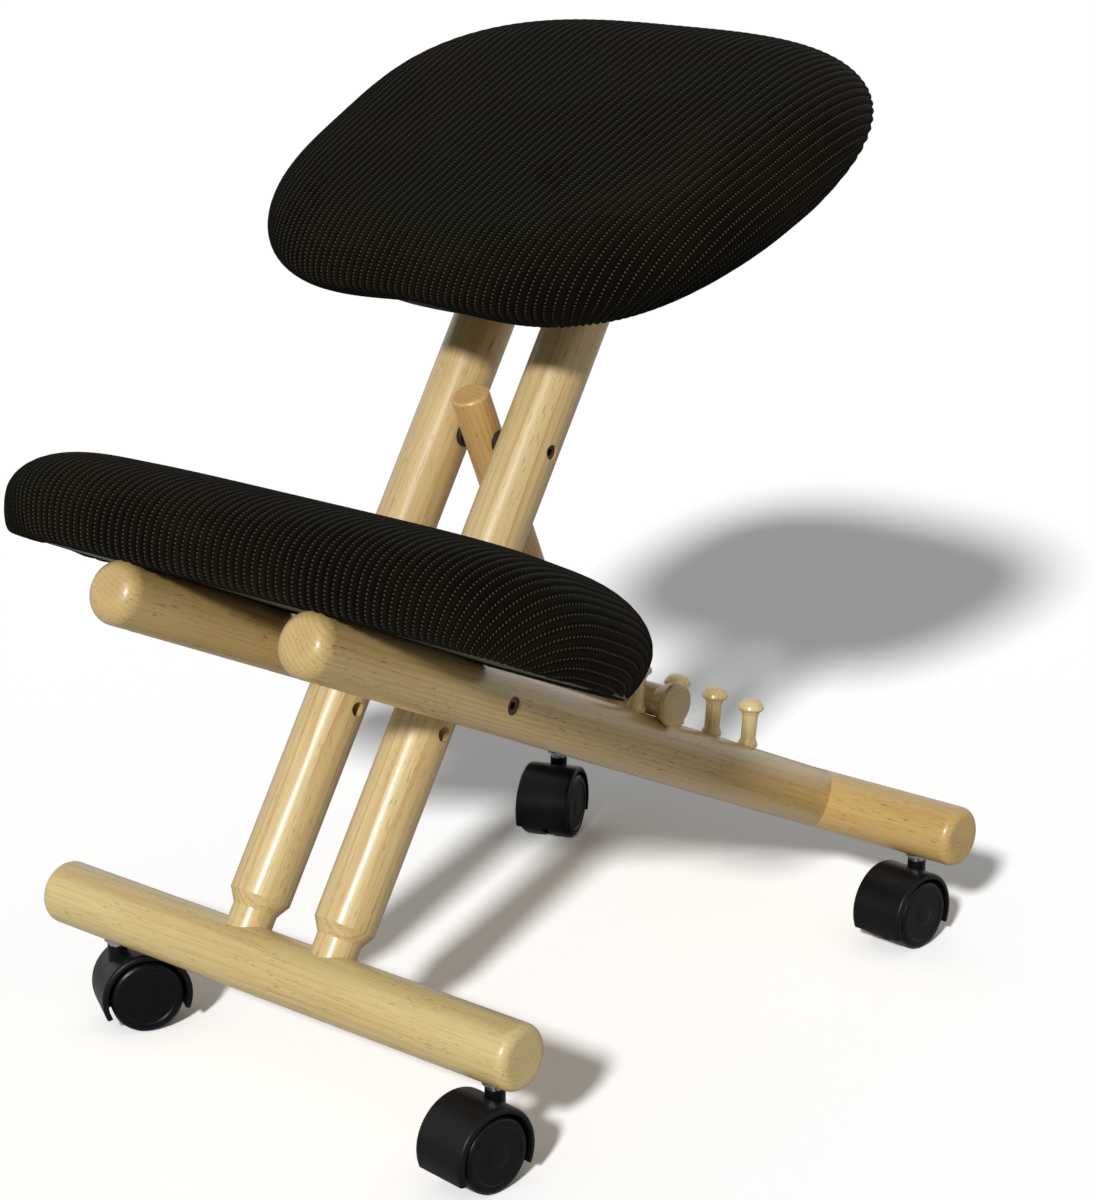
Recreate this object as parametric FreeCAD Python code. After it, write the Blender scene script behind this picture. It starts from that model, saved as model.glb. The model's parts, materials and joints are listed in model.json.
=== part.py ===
"""Kneeling chair: two crossed frames of beech rounds, a strut set between pegs, two cushions.

Millimetres, +Z up, the knee cushion faces -Y, the floor is Z = 0. The crossed frames are drawn
about the front bar (Y = 0) and moved at the end, so that the origin lies under the middle.
"""
import FreeCAD, Part
import math
import os

from FreeCAD import Placement, Rotation, Vector

os.makedirs("parts", exist_ok=True)

# Cross bars that carry the casters
bar_length = 415.0
bar_dia = 43.0
bar_end_round = 7.0
bar_height = 84.0
wheelbase = 478.0

# Posts of the seat frame
post_dia = 41.0
post_spacing = 76.0
post_lean = 32.8
post_neck_dia = 30.0
post_neck_length = 9.0
post_chamfer_length = 9.0
post_socket_depth = 31.0
spare_hole_dia = 10.0
spare_hole_station = 175.0
strut_bolt_station = 371.0

# Rails of the knee frame
rail_dia = 42.0
rail_spacing = 166.0
rail_slope = 25.1
rail_overhang = 5.0
rail_end_round = 12.0

# Pegs along the top of each rail
peg_count = 4
peg_first = 111.0
peg_pitch = 47.0
peg_lean = 18.0
peg_height = 34.0
peg_cap_dia = 18.5
peg_neck_dia = 10.6
peg_base_dia = 14.0
peg_root_dia = 8.0
peg_root_depth = 14.0

# Strut and its turned cross bar
notch = 2
strut_dia = 26.0
strut_overrun = 36.0
strut_tenon_dia = 18.0
strut_tenon_length = 40.0
cross_neck_dia = 22.0
cross_body_dia = 30.0
cross_body_length = 104.0
cross_shoulder_length = 6.0
cross_head_dia = 31.5
cross_head_flare = 9.0
cross_head_round = 7.0
cross_head_reach = 103.0

# Bolts and their recesses
bolt_dia = 8.0
bolt_head_dia = 12.0
bolt_head_height = 4.0
bolt_recess_depth = 6.0
nut_dia = 13.0
nut_height = 5.0
strut_bolt_head_dia = 10.0
spacer_dia = 20.0
rail_bolt_length = 95.0

# Seat
seat_height = 562.2
seat_width = 402.0
seat_depth = 343.0
seat_thickness = 70.0
seat_tilt = 24.0
seat_taper = 0.07
seat_squareness = 2.6
seat_roll = 62.0
seat_underturn = 38.0
seat_board_thickness = 10.0
seat_board_inset = 44.0
cleat_width = 150.0
cleat_length = 118.0
cleat_thickness = 16.0
seat_offset = 16.7

# Knee rest
knee_width = 490.0
knee_depth = 178.0
knee_thickness = 68.0
knee_squareness = 3.6
knee_roll = 56.0
knee_underturn = 9.0
knee_post_gap = 5.5
knee_notch_width = 150.0
knee_notch_depth = 24.0
knee_board_thickness = 9.0
knee_board_inset = 12.0
knee_flat_depth = 0.5

# Wood screws
screw_dia = 4.5
screw_head_dia = 8.5
screw_head_height = 2.5
screw_edge = 22.0
knee_screw_recess = 10.0
screw_bite = 8.0

# Casters, each set in by its own distance from the end of its bar
front_caster_insets = {"left": 52.0, "right": 24.0}
rear_caster_insets = {"left": 38.5, "right": 38.5}
front_caster_turns = {"left": 149.0, "right": -7.0}
rear_caster_turns = {"left": 22.0, "right": -4.0}
wheel_dia = 50.0
wheel_edge_round = 4.0
wheel_face_dish = 0.6
caster_width = 42.0
caster_trail = 16.0
hood_gap = 2.2
hood_wall = 3.8
hood_front_angle = -22.0
hood_rear_angle = 206.0
web_thickness = 4.0
axle_dia = 6.0
axle_length = 34.0
stem_dia = 8.0
stem_collar_dia = 12.0
stem_collar_height = 3.0
neck_dia = 13.0
socket_dia = 11.0
socket_length = 34.0
socket_flange_dia = 17.0
socket_flange_height = 1.5
socket_flat_depth = 1.0

# Clearances
running_gap = 0.06
loose_gap = 0.25
soft_gap = 0.3
wheel_side_gap = 0.6

# Directions shared by the pieces
X_AXIS = Vector(1, 0, 0)
Y_AXIS = Vector(0, 1, 0)
Z_AXIS = Vector(0, 0, 1)
lean = math.radians(post_lean)
slope = math.radians(rail_slope)
post_up = Vector(0, math.sin(lean), math.cos(lean))
rail_forward = Vector(0, -math.cos(slope), math.sin(slope))
rail_normal = Vector(0, math.sin(slope), math.cos(slope))
bar_radius = bar_dia / 2
post_radius = post_dia / 2
rail_radius = rail_dia / 2
front_axis = Vector(0, 0, bar_height)
rear_axis = Vector(0, wheelbase, bar_height)

# Where post and rail cross, seen from the side
post_pivot_station = wheelbase * math.sin(slope) / math.cos(lean - slope)
rail_pivot_station = wheelbase * math.cos(lean) / math.cos(lean - slope)
pivot = front_axis + post_up * post_pivot_station
strut_pivot = front_axis + post_up * strut_bolt_station

pieces = {}


def along_rail(station, height=0.0, x=0.0):
    """A point over the rail axis, by its distance from the rear bar and its height."""
    return rear_axis + rail_forward * station + rail_normal * height + Vector(x, 0, 0)


def rod(start, direction, length, radius):
    return Part.makeCylinder(radius, length, start, direction)


def turned(profile, start, direction):
    """A turned piece: radius and distance pairs along its axis, closed on the axis."""
    points = [Vector(radius, 0, distance) for radius, distance in profile]
    points = [Vector(0, 0, profile[0][1])] + points + [Vector(0, 0, profile[-1][1])]
    face = Part.Face(Part.makePolygon(points + points[:1]))
    solid = face.revolve(Vector(0, 0, 0), Z_AXIS, 360)
    solid.Placement = Placement(start, Rotation(Z_AXIS, direction))
    return Part.Solid(solid) if solid.ShapeType != "Solid" else solid


def rounded_rod(start, direction, length, radius, start_round, end_round):
    """A rod whose two end edges are rounded; a round of zero leaves that end square."""
    solid = rod(start, direction, length, radius)
    axis = Vector(direction).normalize()
    for distance, size in ((0.0, start_round), (length, end_round)):
        if size > 0:
            edges = []
            for edge in solid.Edges:
                offset = (edge.BoundBox.Center - start).dot(axis) - distance
                if abs(offset) < 0.01 and edge.isClosed():
                    edges.append(edge)
            solid = solid.makeFillet(min(size, radius * 0.9), edges)
    return solid


def flat_cut(centre, normal, size, depth):
    """A block that planes away whatever lies beyond the plane through centre."""
    block = Part.makeBox(size, size, depth, Vector(-size / 2, -size / 2, 0))
    block.Placement = Placement(centre, Rotation(Z_AXIS, normal))
    return block


def group(solids):
    return Part.makeCompound(solids)


def sides(spacing):
    return (("left", -spacing / 2, -1.0), ("right", spacing / 2, 1.0))


def caster_sides(insets):
    """The two caster places of one bar, each measured in from its own end."""
    return (("left", insets["left"] - bar_length / 2), ("right", bar_length / 2 - insets["right"]))


# Front bar, with sockets for the posts and the casters

def cross_bar_blank(axis):
    start = axis - X_AXIS * (bar_length / 2)
    return rounded_rod(start, X_AXIS, bar_length, bar_radius, bar_end_round, bar_end_round)


def caster_bore(axis, x):
    """The hole for a caster socket and the small flat under its flange."""
    bottom = axis + Vector(x, 0, -bar_radius)
    bore = rod(bottom, Z_AXIS, socket_length + socket_flat_depth, socket_dia / 2)
    flat = rod(bottom - Z_AXIS, Z_AXIS, socket_flat_depth + 1, socket_flange_dia / 2 + loose_gap)
    return bore.fuse(flat)


post_root = -(post_socket_depth - bar_radius)
front_bar = cross_bar_blank(front_axis)
for side, x, sign in sides(post_spacing):
    mouth = front_axis + Vector(x, 0, 0) + post_up * post_root
    front_bar = front_bar.cut(rod(mouth, post_up, bar_dia + post_socket_depth, post_neck_dia / 2))
for side, x in caster_sides(front_caster_insets):
    front_bar = front_bar.cut(caster_bore(front_axis, x))
pieces["front_bar"] = front_bar

# Posts, turned down to a neck at the foot and cut to the slope of the seat at the top

seat_angle = math.radians(seat_tilt)
seat_back = Vector(0, math.cos(seat_angle), math.sin(seat_angle))
seat_up = Vector(0, -math.sin(seat_angle), math.cos(seat_angle))
seat_centre_drop = seat_thickness / 2 + cleat_thickness
meet_rise = (seat_height - bar_height) - seat_centre_drop * math.cos(seat_angle)
meet = Vector(0, meet_rise * math.tan(lean), bar_height + meet_rise)
seat_under = meet + seat_back * seat_offset
post_top_station = meet_rise / math.cos(lean)
post_shoulder = bar_radius + post_neck_length


def post_hole(station, radius):
    """A cross hole through both posts at one station."""
    centre = front_axis + post_up * station - X_AXIS * post_spacing
    return rod(centre, X_AXIS, 2 * post_spacing, radius)


def post_recess(station, x, sign, depth, radius):
    """A round recess in one side of a post; sign is the side that it opens to."""
    centre = front_axis + post_up * station + X_AXIS * (x + sign * (post_radius - depth))
    return rod(centre, X_AXIS * sign, post_dia, radius)


top_cut = flat_cut(meet, seat_up, 6 * post_dia, 6 * post_dia)
for side, x, sign in sides(post_spacing):
    foot = front_axis + Vector(x, 0, 0)
    neck_radius = post_neck_dia / 2
    profile = [
        (neck_radius, post_root),
        (neck_radius, post_shoulder),
        (post_radius, post_shoulder + post_chamfer_length),
        (post_radius, post_top_station + 2 * post_dia),
    ]
    post = turned(profile, foot, post_up).cut(top_cut)
    post = post.cut(post_hole(spare_hole_station, spare_hole_dia / 2))
    post = post.cut(post_hole(post_pivot_station, bolt_dia / 2))
    post = post.cut(post_hole(strut_bolt_station, bolt_dia / 2))
    post = post.cut(post_recess(post_pivot_station, x, -sign, bolt_recess_depth, nut_dia / 2))
    head_radius = (strut_bolt_head_dia if sign > 0 else nut_dia) / 2
    post = post.cut(post_recess(strut_bolt_station, x, sign, bolt_recess_depth, head_radius))
    pieces["post_" + side] = post

# Rear bar, and rails coped to it, with a planed flat under the knee board

rear_bar = cross_bar_blank(rear_axis)
for side, x in caster_sides(rear_caster_insets):
    rear_bar = rear_bar.cut(caster_bore(rear_axis, x))
rail_bolt_start = -bar_radius + bolt_recess_depth
for side, x, sign in sides(rail_spacing):
    back = rear_axis + Vector(x, 0, 0) - rail_forward * (2 * bar_radius)
    rear_bar = rear_bar.cut(rod(back, rail_forward, 4 * bar_radius, bolt_dia / 2))
    rear_bar = rear_bar.cut(rod(back, rail_forward, 2 * bar_radius + rail_bolt_start, bolt_head_dia / 2))
pieces["rear_bar"] = rear_bar

knee_plane = rail_radius - knee_flat_depth
knee_rear_station = rail_pivot_station + knee_post_gap
knee_front_station = knee_rear_station + knee_depth
rail_length = knee_front_station + rail_overhang
knee_flat_end = rail_length + rail_dia
knee_turn = Rotation(X_AXIS, rail_forward * -1, rail_normal, "XYZ")
knee_flat = Part.makeBox(2 * rail_spacing, knee_flat_end - knee_rear_station, rail_dia,
                         Vector(-rail_spacing, 0, 0))
knee_flat.Placement = Placement(along_rail(knee_flat_end, knee_plane), knee_turn)

peg_side_shift = math.tan(math.radians(peg_lean))
peg_up = (rail_normal * math.cos(math.radians(peg_lean))
          + rail_forward * math.sin(math.radians(peg_lean)))
peg_stations = [peg_first + peg_pitch * i for i in range(peg_count)]


def peg_root(station, x):
    """Where a peg's axis leaves the crown of the rail."""
    return along_rail(station, rail_radius, x)


knee_screw_stations = (knee_rear_station + screw_edge, knee_front_station - screw_edge)
for side, x, sign in sides(rail_spacing):
    rail = rounded_rod(along_rail(0, 0, x), rail_forward, rail_length, rail_radius, 0, rail_end_round)
    rail = rail.cut(rod(rear_axis - X_AXIS * bar_length, X_AXIS, 2 * bar_length, bar_radius))
    rail = rail.cut(knee_flat)
    for station in peg_stations:
        start = peg_root(station, x) - peg_up * peg_root_depth
        rail = rail.cut(rod(start, peg_up, 2 * peg_root_depth, peg_root_dia / 2))
    through = pivot + X_AXIS * (x - rail_radius - 1)
    rail = rail.cut(rod(through, X_AXIS, rail_dia + 2, bolt_dia / 2 + running_gap))
    recess = pivot + X_AXIS * (x + sign * (rail_radius - bolt_recess_depth))
    rail = rail.cut(rod(recess, X_AXIS * sign, rail_dia, bolt_head_dia / 2 + loose_gap))
    bolt_hole = rear_axis + Vector(x, 0, 0)
    rail = rail.cut(rod(bolt_hole, rail_forward, rail_bolt_length + rail_bolt_start, bolt_dia / 2))
    for station in knee_screw_stations:
        below = along_rail(station, -rail_radius - 1, x)
        rail = rail.cut(rod(below, rail_normal, 2 * rail_radius + 2, screw_dia / 2))
        rail = rail.cut(rod(below, rail_normal, knee_screw_recess + 1, screw_head_dia / 2))
    pieces["rail_" + side] = rail

# Turned pegs, their roots glued into the rails

cap_radius = peg_cap_dia / 2
cap_start = peg_height - 0.8 * cap_radius
peg_profile = [
    (peg_root_dia / 2, -peg_root_depth),
    (peg_root_dia / 2, 0.0),
    (peg_base_dia / 2, 0.0),
    (peg_base_dia / 2, 2.0),
    (peg_neck_dia / 2, 6.0),
    (peg_neck_dia / 2 * 1.04, cap_start - 4.0),
    (peg_neck_dia / 2 * 1.3, cap_start - 1.2),
    (cap_radius * 0.93, cap_start),
    (cap_radius, cap_start + 1.2),
    (cap_radius * 0.93, cap_start + 3.2),
    (cap_radius * 0.68, peg_height - 1.2),
    (cap_radius * 0.35, peg_height),
]
for side, x, sign in sides(rail_spacing):
    crown = rod(along_rail(0, 0, x), rail_forward, rail_length, rail_radius)
    pegs = []
    for station in peg_stations:
        peg = turned(peg_profile, peg_root(station, x), peg_up)
        foot = rod(peg_root(station, x) - peg_up * peg_root_depth, peg_up, peg_root_depth, peg_root_dia / 2)
        pegs.append(peg.cut(crown).fuse(foot).removeSplitter())
    pieces["pegs_" + side] = group([peg.Solids[0] for peg in pegs])

# Cross bar in its notch between two pegs, and the strut that stands on it

cross_height = rail_radius + cross_neck_dia / 2 + soft_gap
notch_middle = peg_first + peg_pitch * (notch + 0.5)
cross_station = notch_middle + (cross_height - rail_radius) * peg_side_shift
cross_centre = along_rail(cross_station, cross_height)
strut_line = cross_centre - strut_pivot
strut_reach = strut_line.Length
strut_down = Vector(strut_line).normalize()

neck_radius = cross_neck_dia / 2
body_radius = cross_body_dia / 2
head_radius = cross_head_dia / 2
head_start = cross_head_reach - cross_head_round
half_profile = [
    (body_radius, 0.0),
    (body_radius, cross_body_length / 2),
    (neck_radius, cross_body_length / 2 + cross_shoulder_length),
    (neck_radius, head_start - cross_head_flare),
    (neck_radius * 1.1, head_start - cross_head_flare * 0.75),
    (head_radius * 0.94, head_start),
    (head_radius, cross_head_reach - cross_head_round * 0.64),
    (head_radius * 0.95, cross_head_reach - cross_head_round * 0.29),
    (head_radius * 0.81, cross_head_reach - cross_head_round * 0.06),
    (head_radius * 0.58, cross_head_reach),
]
mirrored = [(radius, -distance) for radius, distance in reversed(half_profile[1:])]
cross_bar = turned(mirrored + half_profile[1:], cross_centre, X_AXIS)
tenon = rod(cross_centre - strut_down * cross_body_dia, strut_down, 2 * cross_body_dia, strut_tenon_dia / 2)
cross_bar = cross_bar.cut(tenon)
pieces["cross_bar"] = cross_bar

strut_top = strut_pivot - strut_down * strut_overrun
strut = rounded_rod(strut_top, strut_down, strut_overrun + strut_reach, strut_dia / 2, 2.5, 0)
strut = strut.cut(rod(cross_centre - X_AXIS * strut_dia, X_AXIS, 2 * strut_dia, body_radius))
tenon_start = cross_centre + strut_down * (body_radius - 1.0 - strut_tenon_length)
strut = strut.fuse(rod(tenon_start, strut_down, strut_tenon_length, strut_tenon_dia / 2)).removeSplitter()
strut_bore = rod(strut_pivot - X_AXIS * strut_dia, X_AXIS, 2 * strut_dia, bolt_dia / 2 + running_gap)
strut = strut.cut(strut_bore)
pieces["strut"] = strut.Solids[0]

# Pivot bolts through rail and post, each with a nut inside the post and a spacer between

post_inner = post_spacing / 2 - post_radius
post_outer = post_spacing / 2 + post_radius
rail_inner = rail_spacing / 2 - rail_radius
rail_outer = rail_spacing / 2 + rail_radius


def bolt(centre, start_x, end_x, sign, head_dia, hex_size):
    """A bolt along X, with its head outwards at start_x and a hexagon socket in the head."""
    shank = rod(centre + X_AXIS * (sign * end_x), X_AXIS * sign, start_x - end_x, bolt_dia / 2)
    head = rod(centre + X_AXIS * (sign * start_x), X_AXIS * sign, bolt_head_height, head_dia / 2)
    key = Part.Face(Part.makePolygon([
        Vector(0, hex_size * math.cos(math.pi * i / 3), hex_size * math.sin(math.pi * i / 3))
        for i in range(7)
    ])).extrude(X_AXIS * (sign * bolt_head_height))
    key.translate(centre + X_AXIS * (sign * (start_x + 1.2)))
    return shank.fuse(head).removeSplitter().cut(key)


def nut(centre, start_x, sign):
    """A round cap nut that closes the bolt's end; it opens outwards."""
    body = rod(centre + X_AXIS * (sign * start_x), X_AXIS * sign, nut_height, nut_dia / 2)
    return body.cut(rod(centre + X_AXIS * (sign * (start_x + 1.5)), X_AXIS * sign, nut_height, bolt_dia / 2))


bolts = []
nuts = []
spacers = []
for side, x, sign in sides(post_spacing):
    head_seat = rail_outer - bolt_recess_depth + loose_gap
    nut_start = post_inner + bolt_recess_depth - nut_height
    bolts.append(bolt(pivot, head_seat, nut_start + 1.5, sign, bolt_head_dia, 2.9))
    nuts.append(nut(pivot, nut_start, sign))
    ring = rod(pivot + X_AXIS * (sign * post_outer), X_AXIS * sign,
               rail_inner - post_outer - soft_gap, spacer_dia / 2)
    spacers.append(ring.cut(rod(pivot - X_AXIS * rail_spacing, X_AXIS, 2 * rail_spacing, bolt_dia / 2)))
pieces["pivot_bolts"] = group(bolts)
pieces["pivot_nuts"] = group(nuts)
pieces["pivot_spacers"] = group(spacers)

# Strut bolt through both posts, with its nut in the left post and two spacers at the strut

strut_head_seat = post_outer - bolt_recess_depth
strut_nut_face = strut_head_seat + nut_height
shank_end = strut_nut_face - 1.5
shank = rod(strut_pivot - X_AXIS * shank_end, X_AXIS, shank_end + strut_head_seat, bolt_dia / 2)
half_bolt = bolt(strut_pivot, strut_head_seat, 0.0, 1.0, strut_bolt_head_dia, 2.4)
pieces["strut_bolt"] = half_bolt.fuse(shank).removeSplitter()
closed_nut = rod(strut_pivot - X_AXIS * strut_nut_face, X_AXIS, nut_height, nut_dia / 2)
pieces["strut_nut"] = closed_nut.cut(shank)
spacers = []
strut_gap = post_inner - strut_dia / 2
for side, x, sign in sides(post_spacing):
    start = strut_pivot + X_AXIS * (sign * (strut_dia / 2 + soft_gap))
    ring = rod(start, X_AXIS * sign, strut_gap - soft_gap, spacer_dia / 2 * 0.8)
    spacers.append(ring.cut(rod(strut_pivot - X_AXIS * post_spacing, X_AXIS, 2 * post_spacing, bolt_dia / 2)))
pieces["strut_spacers"] = group(spacers)

# Long bolts that draw each rail onto the rear bar

rail_bolts = []
for side, x, sign in sides(rail_spacing):
    base = rear_axis + Vector(x, 0, 0) + rail_forward * (rail_bolt_start - bolt_head_height)
    head = rod(base, rail_forward, bolt_head_height, bolt_head_dia / 2)
    shank = rod(base, rail_forward, rail_bolt_length, bolt_dia / 2)
    rail_bolts.append(head.fuse(shank).removeSplitter())
pieces["rail_bolts"] = group(rail_bolts)


# Cushions: a plan outline that a formula gives, swelled and drawn in again over the height

def plan_point(angle, width, depth, squareness, taper, notch_width, notch_depth):
    """A point of the plan; +Y is the back, and the notch is a hollow in the back edge."""
    c = math.cos(angle)
    s = math.sin(angle)
    x = width / 2 * math.copysign(abs(c) ** (2 / squareness), c)
    y = depth / 2 * math.copysign(abs(s) ** (2 / squareness), s)
    x = x * (1 + taper * 2 * y / depth)
    if y > 0 and notch_depth > 0 and abs(x) < notch_width:
        y = y - notch_depth * (0.5 + 0.5 * math.cos(math.pi * x / notch_width))
    return x, y


def plan_wire(height, inset, shape):
    width, depth, squareness, taper, notch_width, notch_depth = shape
    points = []
    steps = 48
    for i in range(steps):
        x, y = plan_point(2 * math.pi * (i + 0.5) / steps, width, depth, squareness,
                          taper, notch_width, notch_depth)
        points.append(Vector(x * (1 - 2 * inset / width), y * (1 - 2 * inset / depth), height))
    curve = Part.BSplineCurve()
    curve.interpolate(points, PeriodicFlag=True)
    return Part.Wire(curve.toShape())


def cushion(shape, thickness, underturn, roll):
    """A closed cushion whose sides are a quarter ellipse below their widest line and one above."""
    widest = 0.34 * thickness
    levels = []
    for angle in (-90, -50, 0, 25, 50, 72, 90):
        a = math.radians(angle)
        rise = widest if angle < 0 else thickness - widest
        inset = (underturn if angle < 0 else roll) * (1 - math.cos(a))
        levels.append(plan_wire(widest + rise * math.sin(a), inset, shape))
    return Part.makeLoft(levels, True, False)


def board(shape, thickness, inset):
    return Part.Face(plan_wire(0.0, inset, shape)).extrude(Z_AXIS * thickness)


def placed(solid, centre, turn):
    solid.Placement = Placement(centre, turn)
    return solid


def countersunk(head_centre, direction, length):
    """A wood screw: a conical head flush with its hole, and a plain shank."""
    profile = [
        (screw_head_dia / 2, 0.0),
        (screw_dia / 2, screw_head_height),
        (screw_dia / 2, length - 3.0),
        (screw_dia / 8, length),
    ]
    return turned(profile, head_centre, direction)


# Seat: cleat on the cut post tops, board on the cleat, cushion round the board

seat_turn = Rotation(X_AXIS, seat_back, seat_up, "XYZ")
seat_shape = (seat_width, seat_depth, seat_squareness, seat_taper, 0.0, 0.0)
cleat = Part.makeBox(cleat_width, cleat_length, cleat_thickness,
                     Vector(-cleat_width / 2, -cleat_length / 2, 0))
cleat = placed(cleat, meet, seat_turn)
seat_board_centre = seat_under + seat_up * cleat_thickness
seat_board = placed(board(seat_shape, seat_board_thickness, seat_board_inset), seat_board_centre, seat_turn)
seat_foam = seat_thickness - seat_board_thickness - soft_gap
seat_cushion = placed(cushion(seat_shape, seat_foam, seat_underturn, seat_roll),
                      seat_board_centre + seat_up * (seat_board_thickness + soft_gap), seat_turn)

seat_screws = []
post_screws = []
for side, x, sign in sides(cleat_width - 2 * screw_edge * 0.5):
    for end in (-1, 1):
        place = meet + Vector(x, 0, 0) + seat_back * (end * (cleat_length / 2 - screw_edge * 0.5))
        screw = countersunk(place, seat_up, cleat_thickness + screw_bite)
        seat_screws.append(screw)
        cleat = cleat.cut(screw)
        seat_board = seat_board.cut(screw)
for side, x, sign in sides(post_spacing):
    for end in (-1, 1):
        place = meet + Vector(x, 0, 0) + seat_up * cleat_thickness + seat_back * (end * post_dia * 0.4)
        screw = countersunk(place, seat_up * -1, cleat_thickness + 2 * screw_bite)
        post_screws.append(screw)
        cleat = cleat.cut(screw)
        pieces["post_" + side] = pieces["post_" + side].cut(screw)
pieces["seat_cleat"] = cleat
pieces["seat_board"] = seat_board
pieces["seat_cushion"] = seat_cushion
pieces["seat_screws"] = group(seat_screws)
pieces["post_screws"] = group(post_screws)

# Knee rest: board on the planed rails, cushion on the board

knee_shape = (knee_width, knee_depth, knee_squareness, 0.0, knee_notch_width, knee_notch_depth)
knee_centre = along_rail(knee_rear_station + knee_depth / 2, knee_plane)
knee_board = placed(board(knee_shape, knee_board_thickness, knee_board_inset), knee_centre, knee_turn)
knee_foam = knee_thickness - knee_board_thickness - soft_gap
knee_cushion = placed(cushion(knee_shape, knee_foam, knee_underturn, knee_roll),
                      knee_centre + rail_normal * (knee_board_thickness + soft_gap), knee_turn)
knee_screws = []
for side, x, sign in sides(rail_spacing):
    for station in knee_screw_stations:
        head = along_rail(station, -rail_radius + knee_screw_recess, x)
        reach = rail_radius - knee_screw_recess + knee_plane + knee_board_thickness - 1.5
        screw = rod(head, rail_normal, reach, screw_dia / 2)
        screw = screw.fuse(rod(head - rail_normal * screw_head_height, rail_normal,
                               screw_head_height, screw_head_dia / 2 - loose_gap)).removeSplitter()
        knee_screws.append(screw)
        knee_board = knee_board.cut(screw)
pieces["knee_board"] = knee_board
pieces["knee_cushion"] = knee_cushion
pieces["knee_screws"] = group(knee_screws)

# Casters: a socket in the bar, and a hooded body with two wheels on one axle

hood_radius = wheel_dia / 2 + hood_gap + hood_wall
wheel_width = (caster_width - web_thickness) / 2 - wheel_side_gap
stem_seat = bar_height - bar_radius + socket_flat_depth - socket_flange_height


def socket(axis, x):
    bottom = axis + Vector(x, 0, -bar_radius + socket_flat_depth)
    sleeve = rod(bottom, Z_AXIS, socket_length, socket_dia / 2)
    flange = rod(bottom - Z_AXIS * socket_flange_height, Z_AXIS, socket_flange_height, socket_flange_dia / 2)
    bore = rod(bottom - Z_AXIS * (socket_flange_height + 1), Z_AXIS, socket_length - 1,
               stem_dia / 2 + running_gap)
    return sleeve.fuse(flange).removeSplitter().cut(bore)


def wheel_profile():
    """One wheel about its axle: tread, rounded rim, dished and domed outer face."""
    radius = wheel_dia / 2
    start = web_thickness / 2 + wheel_side_gap
    end = start + wheel_width
    rounding = []
    for i in range(5):
        a = math.pi / 2 * i / 4
        rounding.append((radius - wheel_edge_round * (1 - math.cos(a)),
                         end - wheel_edge_round * (1 - math.sin(a))))
    face = [
        (radius * 0.76, end),
        (radius * 0.72, end - wheel_face_dish),
        (radius * 0.44, end - wheel_face_dish),
        (radius * 0.36, end - 0.6),
        (radius * 0.20, end),
    ]
    return [(radius * 0.40, start), (radius - 1.0, start), (radius, start + 1.0)] + rounding + face


def hood_shell(axle_centre, trail_way, axle_way):
    """The mudguard over both wheels, its middle web and the neck that takes the stem."""
    half = caster_width / 2
    start = axle_centre - axle_way * half
    shell = rod(start, axle_way, caster_width, hood_radius)
    shell = shell.makeFillet(wheel_edge_round * 0.7, [e for e in shell.Edges if e.isClosed()])
    hollow = rod(start - axle_way, axle_way, caster_width + 2, wheel_dia / 2 + hood_gap)
    web = rod(axle_centre - axle_way * (web_thickness / 2), axle_way, web_thickness, hood_radius - 0.5)
    shell = shell.cut(hollow).fuse(web)
    first = math.radians(hood_front_angle)
    last = math.radians(hood_rear_angle) - 2 * math.pi
    big = 3 * hood_radius
    corners = [axle_centre - axle_way * caster_width]
    for i in range(5):
        a = last + (first - last) * i / 4
        corners.append(corners[0] + (trail_way * math.cos(a) + Z_AXIS * math.sin(a)) * big)
    below = Part.Face(Part.makePolygon(corners + corners[:1])).extrude(axle_way * (2 * caster_width))
    hub = rod(axle_centre - axle_way * (web_thickness / 2), axle_way, web_thickness, axle_dia)
    return shell.cut(below).fuse(hub)


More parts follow.
